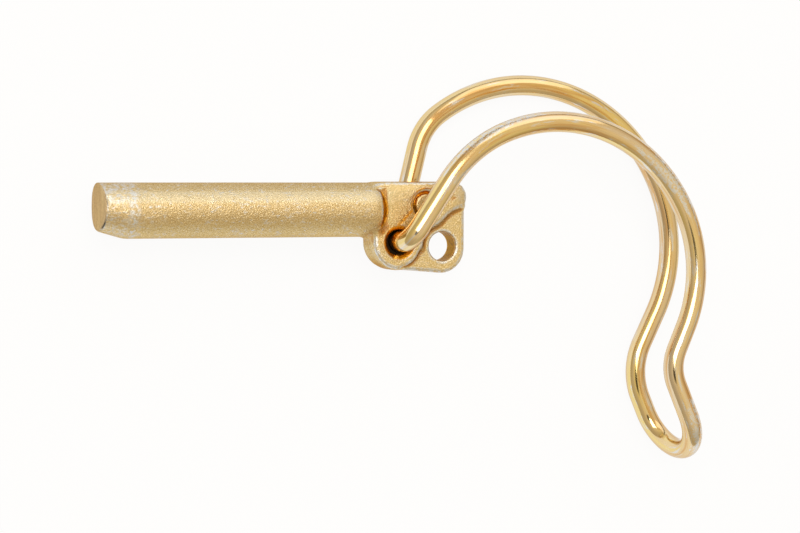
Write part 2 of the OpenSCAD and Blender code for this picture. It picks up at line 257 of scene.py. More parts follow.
def put_mesh(name, verts_mm, faces, values=None):
    """A mesh object from arrays: verts_mm is n x 3 in millimetres, faces is m x 4 or a list of such arrays.

    values maps the name of a point attribute to an n or n x 3 array."""
    groups = faces if isinstance(faces, list) else [faces]
    loops = np.concatenate([g.ravel() for g in groups]).astype(np.int32)
    counts = np.concatenate([np.full(len(g), g.shape[1]) for g in groups])
    starts = np.concatenate([[0], np.cumsum(counts)[:-1]]).astype(np.int32)
    mesh = bpy.data.meshes.new(name)
    mesh.vertices.add(len(verts_mm))
    mesh.vertices.foreach_set("co", (np.asarray(verts_mm, float) / MM).ravel())
    mesh.loops.add(len(loops))
    mesh.loops.foreach_set("vertex_index", loops)
    mesh.polygons.add(len(counts))
    mesh.polygons.foreach_set("loop_start", starts)
    mesh.update(calc_edges=True)
    mesh.polygons.foreach_set("use_smooth", np.ones(len(counts), bool))
    for key, value in (values or {}).items():
        vector = np.ndim(value) == 2
        layer = mesh.attributes.new(key, "FLOAT_VECTOR" if vector else "FLOAT", "POINT")
        layer.data.foreach_set("vector" if vector else "value", np.asarray(value, float).ravel())
    if mesh.validate():
        raise RuntimeError(f"the mesh of {name} had bad faces")
    piece = bpy.data.objects.new(name, mesh)
    bpy.context.scene.collection.objects.link(piece)
    return piece
def fade(value, start, full):
    """0 where value is at start, 1 where it is at full, even in between, and held at both ends."""
    return np.clip((value - start) / (full - start), 0, 1)


def band(d, width, top=1.3):
    """top less the distance from d = 0 in widths, held between 0 and 1: a top over 1 keeps the middle at 1."""
    return np.clip(top - np.abs(d) / width, 0, 1)


def soft_min(a, b, k):
    """The smaller of two distances, with the crease between them rounded over a width k."""
    h = np.maximum(k - np.abs(a - b), 0.0)
    return np.minimum(a, b) - h * h / (4.0 * k)


def soft_max(a, b, k):
    """The larger of two distances, with the crease between them rounded over a width k."""
    return -soft_min(-a, -b, k)


def disc(x, y, c, r):
    """Distance to a disc of radius r about c."""
    return np.hypot(x - c[0], y - c[1]) - r


def convex(x, y, corners):
    """Distance to a convex outline: the largest distance past any of its edges, corners running anticlockwise."""
    past = lambda ax, ay, bx, by: ((x - ax) * (by - ay) - (y - ay) * (bx - ax)) / math.hypot(bx - ax, by - ay)
    return np.maximum.reduce([past(*a, *b) for a, b in zip(corners, corners[1:] + corners[:1])])


def plate(d, z, half, edge):
    """Distance to an outline d extruded to half each way in z, its edges rounded by edge."""
    a = d + edge
    b = np.abs(z) - half + edge
    return np.minimum(np.maximum(a, b), 0.0) + np.hypot(np.maximum(a, 0.0), np.maximum(b, 0.0)) - edge


def cone(x, past, length, drop):
    """Distance past a cone about X that falls by drop over length; past is the distance past its widest round."""
    return (x * drop + past * length) / math.hypot(drop, length)


def heading(degrees):
    """Unit vector in the XY plane at an angle from X."""
    return np.array([math.cos(math.radians(degrees)), math.sin(math.radians(degrees))])


def all_sizes(scene):
    """Every size of the pin and the bow by name: lengths in millimetres, angles in degrees, others as they are."""
    scales = {"LENGTH": MM, "ROTATION": math.degrees(1)}
    return SimpleNamespace(**{p.identifier: getattr(group, p.identifier) * scales.get(p.unit, 1)
                              for group in (scene.lynch_pin, scene.lynch_bow)
                              for p in group.bl_rna.properties if p.type in ("FLOAT", "INT")})


def head_places(s):
    """Radii of the shank, holes and walls, and centres of the holes, corner, boss and hollow in the XY plane."""
    r, hole = s.shank_d / 2, s.wire_d / 2 + s.hole_play
    a = np.array([s.pivot_a_x, -r - s.pivot_a_drop])
    b = np.array([a[0] + s.pivot_b_dx, r - s.pivot_b_depth])
    eye = np.array([a[0] + s.eye_dx, a[1] - s.eye_drop])
    corner_r = s.eye_d / 2 + s.eye_wall
    corner = np.array([eye[0], eye[1] - s.eye_rise])
    end = corner[0] + corner_r
    boss = np.array([end + s.boss_proud - s.boss_r, r - s.boss_r])
    hollow = np.array([end + s.recess_past, boss[1] - s.boss_r + s.recess_rise - s.recess_r])
    return SimpleNamespace(r=r, hole=hole, a=a, b=b, eye=eye, eye_r=s.eye_d / 2, corner=corner, corner_r=corner_r,
                           end=end, boss=boss, hollow=hollow, outer=hole + s.pivot_wall, ring=hole + s.ring_wall)


# --- pin ---

def shoulder_distance(x, y, z, s, q):
    """Distance past the sloped shoulder, a cone that starts where the slight taper ends."""
    return cone(x - s.lead_l, np.hypot(y, z) - q.r + s.lead_drop, s.shoulder_l, s.shoulder_drop)


def face_depth(x, z, s):
    """Distance past the nose's end face, which the shears have crowned from side to side."""
    return z * z / (2 * s.nose_crown) - s.shank_l - x


def shank_distance(x, y, z, s, q):
    """Distance to the shank: a round bar about X, cut at the shoulder by two cones and at the nose by a leaning
    cone and the end face. The shoulder stands clear only above the pads; lower down the round runs on."""
    past = np.hypot(y, z) - q.r
    beside = BESIDE_PADS * fade(np.abs(z) - s.pad_t / 2, -0.1, -0.6)
    bar = soft_max(past, cone(x, past, s.lead_l, s.lead_drop) - beside, SOFT.taper)
    bar = soft_max(bar, shoulder_distance(x, y, z, s, q) - beside, SOFT.shoulder)
    bar = np.maximum(bar, x - s.lead_l - BAR_END)
    # nose: a cone whose top line is level and whose underside ramps up
    lean = math.atan2(s.nose_cut, s.nose_l) / 2
    reach = (2 * q.r + NOSE_LIFT - s.nose_cut) / math.tan(2 * lean)
    ax, ay = x + s.shank_l + reach, y - q.r - NOSE_LIFT
    along = ax * math.cos(lean) - ay * math.sin(lean)
    across = np.hypot(ax * math.sin(lean) + ay * math.cos(lean), z)
    bar = soft_max(bar, across * math.cos(lean) - along * math.sin(lean), SOFT.nose)
    # the end face is sharp on the near side, and rolled over on the far side and underneath
    worn = np.minimum(fade(z, 0.4, -1.8) + fade(y, -1.2, -2.4), 1.2)
    return soft_max(bar, face_depth(x, z, s), s.nose_rim + s.nose_worn * worn)


def head_outline(x, y, s, q):
    """Distance to the head's outline in the XY plane: discs at the near pivot, corner and boss, and straights."""
    side = q.corner - q.a
    lean = math.atan2(side[1], side[0]) + math.asin((q.outer - q.corner_r) / math.hypot(*side)) - math.pi / 2
    square = np.array([math.cos(lean), math.sin(lean)])
    block = convex(x, y, [(s.lead_l, q.a[1]), tuple(q.a + q.outer * square), tuple(q.corner + q.corner_r * square),
                          (q.end, q.corner[1]), (q.end, q.boss[1]), (q.boss[0], q.r),
                          (-s.lead_l / 2, q.r), (-s.lead_l / 2, BLOCK_LOW)])
    root = convex(x, y, [(q.a[0] - q.outer, q.a[1]), tuple(q.a), (q.a[0], ROOT_LOW), (q.a[0] - q.outer, ROOT_LOW)])
    return np.minimum(np.minimum(disc(x, y, q.a, q.outer), disc(x, y, q.corner, q.corner_r)),
                      np.minimum(disc(x, y, q.boss, s.boss_r), np.minimum(block, root)))


def hollow_outline(x, y, s, q):
    """Distance to the area where the head is only as thick as the thin plate."""
    below = convex(x, y, [(q.a[0], -OUT_OF_REACH), (OUT_OF_REACH, -OUT_OF_REACH), (OUT_OF_REACH, q.corner[1]),
                          tuple(q.corner), tuple(q.a)])
    pocket = disc(x, y, q.corner, q.eye_r + s.eye_land)
    hollow = soft_min(disc(x, y, q.hollow, s.recess_r), pocket, SOFT.pocket)
    hollow = soft_min(hollow, below, SOFT.pocket_edge)
    return soft_max(hollow, -disc(x, y, q.a, q.ring), SOFT.ring)


def head_distance(x, y, z, s, q):
    """Distance to the head: its outline, thick where it isn't hollowed and thin all over, with rounded edges. The
    pads' edges are rolled over more along the hollow, the boss is domed to its corner, and the top edge swells
    gently from the round of the shank."""
    outline, hollow = head_outline(x, y, s, q), hollow_outline(x, y, s, q)
    rolled = s.edge_round + s.edge_roll * fade(x, 6.5, 8.0) * fade(y, 3.7, 3.1)
    pads = plate(soft_max(outline, -hollow, SOFT.pad_step), z, s.pad_t / 2, rolled)
    corner = np.hypot(np.maximum(x - q.boss[0] + 0.3, 0), np.maximum(y - q.boss[1] + 0.3, 0))
    pads = soft_max(pads, np.abs(z) - s.pad_t / 2 + s.boss_dome * corner ** 2, SOFT.dome)
    head = soft_min(pads, plate(outline, z, s.plate_t / 2, s.edge_round), SOFT.plate)
    grow = np.hypot(np.maximum(y, 0), z) - q.r - TOP_START - s.swell * x
    return soft_max(head, grow / math.hypot(1, s.swell), SOFT.top)


def without_holes(body, x, y, z, s, q):
    """body with the two countersunk pivot holes and the cord eye taken away, each with a soft lip."""
    deep = np.abs(z) - s.pad_t / 2 + s.sink_w
    for c in (q.a, q.b):
        d = disc(x, y, c, q.hole)
        body = soft_max(body, -soft_min(d, (d - deep) * math.sqrt(0.5), SOFT.sink), SOFT.lip)
    return soft_max(body, -disc(x, y, q.eye, q.eye_r), SOFT.eye)


def pivot_filling(x, y, z, s, q):
    """Distance to what fills the pivots: caked grease around the near foot, which turns in it, and in the far
    pivot, opened there, the tip of the far foot set in grease. The grease round the near foot is painted dark, as
    painted shade for the deep shade of that hole."""
    floor = np.abs(z) - s.pad_t / 2 + s.sink_w
    foot = q.a + s.seat_shift * heading(s.near_heading)
    near = np.maximum(disc(x, y, q.a, q.hole + GREASE_PAST), GREASE_GAP - disc(x, y, foot, q.hole - s.hole_play))
    near = np.maximum(near, floor + GREASE_LOW["near"])
    tip = plate(disc(x, y, q.b, q.hole - TIP_PLAY), z, s.pad_t / 2 - TIP_SHORT, TIP_EDGE)
    far = np.maximum(disc(x, y, q.b, q.hole + GREASE_PAST), floor + GREASE_LOW["far"])
    return np.minimum(near, np.minimum(tip, far))


def rib_distance(x, y, z, s, q):
    """Distance to the stop rib, a small bar across the near countersink that stands on the grease."""
    c, d = heading(s.rib_dir)
    tall = s.sink_w + GREASE_LOW["near"]
    u = (x - q.a[0]) * c + (y - q.a[1]) * d - q.hole - 0.05 - s.sink_w / 2
    v = (y - q.a[1]) * c - (x - q.a[0]) * d
    w = z - s.pad_t / 2 + RIB_SINK + tall / 2
    return np.maximum(np.maximum(np.abs(u) - s.sink_w / 2, np.abs(v) - s.rib_w / 2), np.abs(w) - tall / 2)


def pin_distance(x, y, z, s, q):
    """Signed distance, in millimetres, from points to the forged pin: the shank and the head, blended where they
    meet under the axis, with the holes taken away and the pivots' filling and the stop rib put back."""
    root = s.fillet * band(z, 1.7) + 0.8 * fade(y, -1.7, -2.6)
    blend = 0.08 + root * np.clip(-y, 0, 1)
    body = soft_min(shank_distance(x, y, z, s, q), head_distance(x, y, z, s, q), blend)
    body = np.minimum(without_holes(body, x, y, z, s, q), pivot_filling(x, y, z, s, q))
    return soft_min(body, rib_distance(x, y, z, s, q), SOFT.rib)


def net_surface(field, xs, ys, zs):
    """The surface where field is zero, as one point in each grid cell that it crosses and one quad across each
    grid edge that it crosses. A point is the mean of the crossings on its cell's edges."""
    grid = field(xs[:, None, None], ys[None, :, None], zs[None, None, :])
    inside = grid < 0
    corners = list(np.ndindex(2, 2, 2))
    cut = lambda c: tuple(slice(o, o + n - 1) for o, n in zip(c, grid.shape))
    count = sum(inside[cut(c)].astype(np.int8) for c in corners)
    cells = np.argwhere((count > 0) & (count < 8))
    order = np.full(count.shape, -1, np.int64)
    order[tuple(cells.T)] = np.arange(len(cells))
    axes, unit = (xs, ys, zs), np.eye(3, dtype=int)
    total, hits = np.zeros((len(cells), 3)), np.zeros(len(cells))
    for axis in range(3):
        for c in corners:
            if c[axis]:
                continue
            low = cells + np.array(c)
            high = low + unit[axis]
            fa, fb = grid[tuple(low.T)], grid[tuple(high.T)]
            hit = (fa < 0) != (fb < 0)
            t = fa / np.where(hit, fa - fb, 1.0)
            point = np.stack([axes[m][low[:, m]] for m in range(3)], 1)
            point[:, axis] += t * (axes[axis][high[:, axis]] - axes[axis][low[:, axis]])
            total += point * hit[:, None]
            hits += hit
    points = total / hits[:, None]
    quads = []
    for axis in range(3):
        b, c = unit[(axis + 1) % 3], unit[(axis + 2) % 3]
        flips = np.argwhere(np.diff(inside, axis=axis))
        quad = np.stack([order[tuple(cell.T)] for cell in (flips - b - c, flips - c, flips, flips - b)], 1)
        quads.append(np.where(inside[tuple(flips.T)][:, None], quad, quad[:, ::-1]))
    return points, np.concatenate(quads)


def stretch(start, stop, step):
    """Evenly spaced values from start up to, and without, stop."""
    n = max(1, round((stop - start) / step))
    return start + (stop - start) * np.arange(n) / n


def on_surface(field, points, rounds=3, reach=0.01, longest=0.08):
    """The points moved down the field's gradient onto its zero surface, in a few rounds."""
    for _ in range(rounds):
        shifts = [reach * np.eye(3)[axis] for axis in range(3)]
        slope = np.stack([field(*(points + d).T) - field(*(points - d).T) for d in shifts], 1) / (2 * reach)
        step = field(*points.T)[:, None] * slope / np.maximum((slope * slope).sum(1), 0.2)[:, None]
        points = points - np.clip(step, -longest, longest)
    return points


def bending(field, points, reach=0.35):
    """How strongly the surface bends, from second differences: over 0 on edges, under 0 in corners."""
    total = -6 * field(*points.T)
    for axis in range(3):
        d = reach * np.eye(3)[axis]
        total = total + field(*(points + d).T) + field(*(points - d).T)
    return total / reach ** 2


def leg_shadow_line(x, y, q):
    """Distance to the line beside the near leg on the pad between the two pivots, where the leg's painted shadow
    lies.
    """
    here, there = q.b + 2.7 * heading(202), q.a + 2.4 * heading(100)
    line, x, y = there - here, x - here[0], y - here[1]
    t = np.clip((x * line[0] + y * line[1]) / (line @ line), 0, 1)
    return np.hypot(x - t * line[0], y - t * line[1])


def pin_marks(points, bend, s, q):
    """Where the forging is worn, stained, pitted or sheared; where it gets painted shade, in its concave corners
    (partly thicker plating), the shoulder's crease, deep in its holes, along the nose's near rim and on its side
    wall; and where the near leg's painted shadow lies: a share for each point."""
    x, y, z = points.T
    face = np.abs(z) - s.pad_t / 2
    high = fade(face, -0.25, -0.05)
    near, far = disc(x, y, q.a, q.hole), disc(x, y, q.b, q.hole)
    eye, line = disc(x, y, q.eye, q.eye_r), leg_shadow_line(x, y, q)
    # silver on the edges and on the boss, but not on the tip in the far pivot
    rub = np.maximum(fade(bend, 0.42, 1.32), 0.5 * band(disc(x, y, q.boss + (0.8, 0.2), 0), 1.6, 1.0))
    rub *= fade(far, -0.1, 0.0)
    # thick plating in the countersinks, the far pivot and the eye; deep orange as painted shade in the shoulder's
    # groove, and as the near leg's painted shadow along its line
    groove_shade = band(shoulder_distance(x, y, z, s, q), 0.22) * fade(x - s.lead_l, -0.02, 0.08) * high
    groove_shade *= fade(np.abs(y + 0.15), 3.4, 2.5)
    stain = np.maximum.reduce([groove_shade, fade(near - s.sink_w, 0.25, 0.0), band(far - s.sink_w, 0.16),
                               band(far + 0.1, 0.22, 1.4), 0.9 * fade(eye, 0.12, -0.03),
                               0.9 * band(line, 0.22, 1.5) * high])
    # painted shade, as dark grease, in the eye, deep in the near pivot, and on the side of the far pivot that the
    # leg has drawn open
    deep = fade(face + s.sink_w, 0.0, -0.12)
    spot = band(disc(x, y, q.b - (1.6, 0.7), 0), 0.8, 1.5) * band(far + 0.1, 0.14) * fade(np.abs(z), 1.0, 1.3)
    grime_and_shade = np.maximum.reduce([0.4 * fade(eye, 0.1, 0.0) * fade(np.abs(z), 1.5, 1.1),
                               deep * fade(near, 0.12, 0.02), 0.9 * spot])
    # pits round the far pivot and on the boss, and orange pits along the leg's line as the near leg's painted
    # shadow
    pits = np.maximum.reduce([band(far - s.sink_w, 0.45, 1.15) * fade(x, 8.6, 8.0), 0.8 * band(line, 0.45),
                              0.8 * band(disc(x, y, q.boss, 0), 1.7, 1.2)]) * high
    # the plain sheared end face, and painted shade as a dark line along its near rim in two stretches
    depth = face_depth(x, z, s)
    burr = band(depth + 0.20, 0.13, 1.25) * fade(z, 0.4, 1.0) * band(np.abs(y + 0.25) - 1.7, 1.1, 1.2)
    # wall: the side walls, which get painted shade as a darker, deeper gold
    wall = fade(np.abs(z) - s.plate_t / 2, -0.1, -0.4) * fade(x, 0.5, 1.7)
    # corner: the concave creases, whose deeper gold is partly thicker plating and partly painted shade
    return {"rub": rub, "corner": fade(bend, 0.0, -1.2), "stain": stain, "grime_and_shade": grime_and_shade, "pits": pits,
            "plain": fade(depth, -0.22, -0.10), "burr": burr, "wall": wall}


def make_pin(s):
    """The forged pin: the zero surface of pin_distance, worked out on a grid that is fine at the head and the nose
    and coarse along the plain shank."""
    h, q = s.mesh_step, head_places(s)
    nose, ramp_end, head_start = -s.shank_l - 3 * h, -s.shank_l + s.nose_l + 2, -1.5
    xs = np.concatenate([stretch(nose, ramp_end, h * 1.15), stretch(ramp_end, head_start, 0.6),
                         stretch(head_start, q.end + s.boss_proud + 4 * h, h)])
    ys = stretch(q.corner[1] - q.corner_r - 4 * h, q.r + 3 * h, h)
    zs = stretch(-q.r - 2.5 * h, q.r + 3 * h, h)
    field = lambda x, y, z: pin_distance(x, y, z, s, q)
    points, quads = net_surface(field, xs, ys, zs)
    points = on_surface(field, points)
    return put_mesh("forged_pin", points, quads, pin_marks(points, bending(field, points), s, q))


# --- bow ---

def after(state, rows):
    """Where a bending table leads: state is x, y and heading in degrees, and each row is a straight length, then a
    bend of a radius and an angle, positive to the left."""
    at, h = np.array(state[:2]), state[2]
    for run, radius, angle in rows:
        side = math.copysign(radius, angle)
        at = at + run * heading(h) + side * heading(h + 90)
        h += angle
        at = at - side * heading(h + 90)
    return at, h


def flat(v):
    """A direction in the XY plane as a direction in space."""
    return np.array([v[0], v[1], 0.0])


def crown_radius(s, start, table):
    """The radius of the near leg's crown that puts the middle of the hook just past the nose."""
    reach = s.shank_l + s.pivot_a_x + s.hook_past
    hook = lambda crown: after(start, table(crown)[:3] + [(s.near_run, s.near_hook_r, s.near_hook_a / 2)])[0]
    base, gain = hook(0.0) - np.array(start[:2]), hook(1.0) - hook(0.0)
    gg, gb = gain @ gain, gain @ base
    return (-gb + math.sqrt(gb * gb - gg * (base @ base - reach * reach))) / gg


def bow_steps(s):
    """The bow as a start, a direction and steps: a straight length, or a bend as radius, angle and axis."""
    q = head_places(s)
    leg = q.r + s.leg_clearance + s.wire_d / 2
    up, r = np.array([0, 0, 1.0]), s.pivot_bend_r
    foot = q.a + s.seat_shift * heading(s.near_heading)
    start = (*foot, s.near_heading)
    table = lambda crown: [(s.near_stem, s.near_rise_r, -s.near_rise_a), (0, crown, -s.near_crown_a),
                           (0, s.near_fall_r, -s.near_fall_a), (s.near_run, s.near_hook_r, s.near_hook_a),
                           (s.near_tail, *NO_BEND)]
    crown = crown_radius(s, start, table)
    near = table(crown)
    near_end, near_way = after(start, near)
    # the end loop comes back beside the near leg, and the far leg runs from there to its knee and its stem
    skew = s.loop_skew * heading(near_way - 90)
    far = [(s.far_tail, s.far_hook_r, -s.far_hook_a), (s.far_run, s.far_fall_r, s.far_fall_a),
           (0, crown + s.far_crown_extra, s.far_crown_a), (0, s.far_rise_r, s.far_rise_a)]
    arch_end, way = after((*(near_end + skew), near_way + 180), far)
    to_knee = arch_end + s.far_knee_r * heading(way + 90) - q.b
    gap = math.hypot(*to_knee)
    stem = math.degrees(math.atan2(to_knee[1], to_knee[0]) + math.asin(s.far_knee_r / gap))
    stem_l = math.sqrt(gap ** 2 - s.far_knee_r ** 2) - s.seat_shift - r
    far += [(0, s.far_knee_r, stem + 180 - way), (stem_l, *NO_BEND)]
    near[0] = (s.near_stem - r, *near[0][1:])
    across = flat(skew) - 2 * leg * up
    bends = lambda rows: [step for run, radius, angle in rows for step in ((run,), (radius, angle, up))]
    steps = [(leg - r + s.pad_t / 2 - s.end_inset,), (r, 90.0, np.cross(up, flat(heading(s.near_heading)))),
             *bends(near), (np.linalg.norm(across) / 2, 180.0, np.cross(flat(heading(near_way)), across)),
             *bends(far), (r, 90.0, np.cross(flat(heading(stem + 180)), up)),
             (leg - r - s.pad_t / 2 - s.open_gap,)]
    return np.array([*foot, s.end_inset - s.pad_t / 2]), up, steps


def follow(start, along, steps, spacing=0.6, coarser=1.6, tightest=3.0):
    """Points, directions and side vectors along a wire; a bend turns all three about the axis through its centre.
    Straights have coarser points, and bends tighter than tightest are stepped as if they had that radius."""
    side = np.array([1.0, 0, 0])
    pts, dirs, sides = [start[None]], [along[None]], [side[None]]
    p, t, n = start, along, side
    for step in steps:
        if len(step) == 1:
            if step[0] <= 0:
                continue
            k = max(1, round(step[0] / (coarser * spacing)))
            pts.append(p + step[0] * np.arange(1, k + 1)[:, None] / k * t)
            dirs.append(np.repeat(t[None], k, 0))
            sides.append(np.repeat(n[None], k, 0))
        else:
            radius, angle, axis = step
            if angle == 0:
                continue
            axis = axis / np.linalg.norm(axis) * math.copysign(1, angle)
            k = max(2, round(math.radians(abs(angle)) * max(radius, tightest) / spacing))
            a = np.radians(abs(angle)) * np.arange(1, k + 1)[:, None] / k
            spin = lambda v: v * np.cos(a) + np.cross(axis, v) * np.sin(a) + axis * (axis @ v) * (1 - np.cos(a))
            centre = p + radius * np.cross(axis, t)
            pts.append(centre + spin(p - centre))
            dirs.append(spin(t))
            sides.append(spin(n))
        p, t, n = pts[-1][-1], dirs[-1][-1], sides[-1][-1]
    return np.concatenate(pts), np.concatenate(dirs), np.concatenate(sides)


def bow_marks(wire, normals, s):
    """Where the wire is worn, and where its near foot gets painted shade down in its hole, a share for each point,
    and its place on the straightened wire.
    """
    along = wire[:, 2] / wire[:, 2].max()
    rub = np.zeros(len(wire))
    for middle, half, strength, facing in WORN_STRETCHES:
        side = normals @ (np.array(facing) / np.linalg.norm(facing))
        rub = np.maximum(rub, strength * np.exp(-((along - middle) / half) ** 2) * fade(side, 0.3, 0.8))
    foot_shade_top = s.pad_t - FOOT_SHADE_DEPTH
    return {"wire": wire / MM, "rub": rub, "grime_and_shade": fade(wire[:, 2], foot_shade_top, foot_shade_top - FOOT_SHADE_FADE)}


def make_bow(s):
    """The bow: a circle of the wire's radius carried along the bent path, closed at each end by a chamfer ring and
    a middle point. Point value wire holds the place on the straightened wire, two across and one along."""
    r, ch, k = s.wire_d / 2 - SKIN, s.wire_chamfer, s.sides
    pts, dirs, sides = follow(*bow_steps(s))
    # the first and last rings are drawn in for the chamfers
    pts = np.concatenate([pts[:1], pts[:1] + ch * dirs[:1], pts[1:-1], pts[-1:] - ch * dirs[-1:], pts[-1:]])
    dirs = np.concatenate([dirs[:1], dirs, dirs[-1:]])
    sides = np.concatenate([sides[:1], sides, sides[-1:]])
    rad = np.full(len(pts), r)
    rad[[0, -1]] = r - ch
    s_along = np.concatenate([[0], np.cumsum(np.linalg.norm(np.diff(pts, axis=0), axis=1))])
    a = 2 * np.pi * np.arange(k) / k
    outward = np.cos(a)[:, None] * sides[:, None] + np.sin(a)[:, None] * np.cross(dirs, sides)[:, None]
    verts = (pts[:, None] + rad[:, None, None] * outward).reshape(-1, 3)
    rads, angles = np.repeat(rad, k), np.tile(a, len(pts))
    wire = np.stack([rads * np.cos(angles), rads * np.sin(angles), np.repeat(s_along, k)], 1)
    i, j = np.arange(len(pts) - 1)[:, None] * k, np.arange(k)[None]
    quads = np.stack([i + j, i + (j + 1) % k, i + k + (j + 1) % k, i + k + j], -1).reshape(-1, 4)
    first, after_first, last = j[0], (j[0] + 1) % k, (len(pts) - 1) * k
    caps = np.concatenate([np.stack([np.full(k, len(verts)), after_first, first], 1),
                           np.stack([np.full(k, len(verts) + 1), last + first, last + after_first], 1)])
    normals = np.concatenate([outward.reshape(-1, 3), -dirs[:1], dirs[-1:]])
    verts = np.concatenate([verts, pts[:1], pts[-1:]])
    wire = np.concatenate([wire, [[0, 0, 0]], [[0, 0, s_along[-1]]]])
    return put_mesh("spring_bow", verts, [quads, caps], bow_marks(wire, normals, s))


# --- finishes ---

class Nodes:
    """A short way to lay out the nodes of a material or a world."""

    def __init__(self, owner):
        owner.use_nodes = True
        self.owner, self.tree = owner, owner.node_tree
        self.tree.nodes.clear()

    def add(self, kind, inputs=None, **settings):
        """A node with its settings; inputs are values, or outputs of other nodes that are linked to it."""
        node = self.tree.nodes.new(kind)
        for key, value in settings.items():
            setattr(node, key, value)
        for key, value in (inputs or {}).items():
            if isinstance(value, bpy.types.NodeSocket):
                self.tree.links.new(value, node.inputs[key])
            else:
                node.inputs[key].default_value = value
        return node

    def noise(self, where, scale, detail, rough, distortion=0.0, stretched=None):
        """A noise, drawn out along the axes where stretched is under 1."""
        if stretched:
            where = self.add("ShaderNodeMapping", {"Vector": where, "Scale": stretched}).outputs[0]
        return self.add("ShaderNodeTexNoise", {"Vector": where, "Scale": scale, "Detail": detail,
                                               "Roughness": rough, "Distortion": distortion}).outputs["Fac"]

    def clouds(self, where, table):
        """The noises of a table, by name."""
        return SimpleNamespace(**{name: self.noise(where, *numbers) for name, numbers in table.items()})

    def value(self, name, output="Fac"):
        """A point value of the mesh."""
        return self.add("ShaderNodeAttribute", attribute_name=name, attribute_type="GEOMETRY").outputs[output]

    def values(self, *names):
        """Several point values, by name."""
        return SimpleNamespace(**{name: self.value(name) for name in names})

    def ramp(self, value, low, high, to_low=0.0, to_high=1.0):
        """value from low to high, mapped to to_low to to_high and held there."""
        return self.add("ShaderNodeMapRange", {"Value": value, "From Min": low, "From Max": high, "To Min": to_low,
                                               "To Max": to_high}, clamp=True).outputs["Result"]

    def math(self, how, a, b):
        return self.add("ShaderNodeMath", {0: a, 1: b}, operation=how).outputs[0]

    times = partialmethod(math, "MULTIPLY")
    plus = partialmethod(math, "ADD")
    less = partialmethod(math, "SUBTRACT")
    most = partialmethod(math, "MAXIMUM")

    def mix(self, factor, a, b):
        """Colour a with colour b over it by factor."""
        full = [c if isinstance(c, bpy.types.NodeSocket) else (*c, 1.0) for c in (a, b)]
        return self.add("ShaderNodeMix", {0: factor, 6: full[0], 7: full[1]}, data_type="RGBA").outputs[2]

    def close(self, shader, kind="Material"):
        """Links the shader to the output of the material or world, which it returns."""
        self.add("ShaderNodeOutput" + kind, {"Surface": shader.outputs[0]})
        return self.owner


def tone(rgb, factors):
    """A colour with its channels multiplied, none of them over 1."""
    return tuple(min(1, c * m) for c, m in zip(rgb, factors))


def metal_with_grease_and_shade(n, f, tint, rough, grime_and_shade, dark, bump, **more):
    """Plated metal: the metal's shine goes where the dark grease lies, which is partly painted shade, and the
    colour and the gloss go wherever it is dark.
    """
    return n.close(n.add("ShaderNodeBsdfPrincipled", {
        "Base Color": n.mix(dark, tint, f.grime_and_shade), "Metallic": n.less(1.0, grime_and_shade),
        "Roughness": n.most(rough, n.times(dark, GREASE_ROUGH)), "Normal": bump,
        "Specular IOR Level": 0.2, "Specular Tint": (*f.edge_tint, 1), **more}))


def forged_gold(n, f, c, m, x, y, shank):
    """The gold on the forging, before the orange and the silver: clouded and grained, with a painted highlight
    along the shank's upper side, painted shade at its top and middle and on the side walls, and deeper in the
    corners, partly as painted shade.
    """
    shade = lambda *k: tone(f.forged_gold, k)
    gold = n.mix(n.ramp(c.broad, 0.35, 0.7), f.forged_gold, shade(0.92, 0.93, 0.92))
    # a painted highlight: the gold is paler along the upper side of the shank; and painted shade: it is darker at
    # its top and middle
    low, high = n.ramp(y, 0.0007, 0.0014), n.ramp(y, 0.0031, 0.0026)
    highlight_band = n.times(n.times(low, high), n.ramp(x, 0.004, -0.001, 0.2, 0.7))
    gold = n.mix(highlight_band, gold, shade(1.02, 1.22, 1.85))
    full = n.most(n.less(n.ramp(y, -0.0022, -0.0010), low), n.less(1.0, high))
    gold = n.mix(n.times(full, shank), gold, shade(0.79, 0.77, 0.80))
    gold = n.mix(n.ramp(c.fine, 0.49, 0.63, 0.0, 0.85), gold, shade(1.2, 1.28, 1.65))
    gold = n.mix(n.ramp(c.fine, 0.48, 0.32, 0.0, 0.7), gold, shade(0.80, 0.66, 0.42))
    sheared = n.mix(n.ramp(c.shear, 0.40, 0.60), shade(0.80, 0.74, 0.80), shade(0.92, 0.88, 0.95))
    # painted shade: the side walls are made a darker, deeper gold
    gold = n.mix(m.wall, n.mix(m.plain, gold, sheared), shade(0.78, 0.58, 0.28))
    # deeper gold in the concave corners: partly thicker plating, partly painted shade
    return n.mix(n.times(n.ramp(m.corner, 0.05, 0.9), 0.8), gold, f.deep_gold)


def forged_silver(n, c, m, x, y, shank):
    """Where the gold is worn down to silver: specks along the shank, the edges, and the nose, with a painted
    highlight along the nose's top line.
    """
    # the limit for specks comes down where the gather cloud is thick
    limit = n.ramp(c.gather, 0.40, 0.65, 0.61, 0.48)
    specks = n.times(n.ramp(c.scuff, limit, 0.68), n.ramp(shank, 0, 1, 0.35, 0.9))
    edges = n.times(n.ramp(m.rub, 0.1, 0.75, 0.0, 0.85), n.ramp(c.small, 0.36, 0.54))
    # at the nose: silver in a band where the ramp starts and on the ramp's lower part, and a painted highlight
    # along the top line
    start = n.ramp(n.math("ABSOLUTE", n.less(x, NOSE_BAND), 0.0), 0.0011, 0.0003)
    lower = n.times(n.ramp(x, -0.0365, -0.0378, 0.0, 0.55), n.ramp(y, -0.0006, -0.0024))
    nose_highlight = n.times(n.ramp(x, -0.0366, -0.0378), n.ramp(y, 0.0004, 0.0014, 0.0, 0.8))
    nose = n.times(n.most(n.most(start, nose_highlight), lower), n.ramp(c.small, 0.44, 0.58, 0.0, 0.9))
    return n.most(n.most(specks, edges), nose)


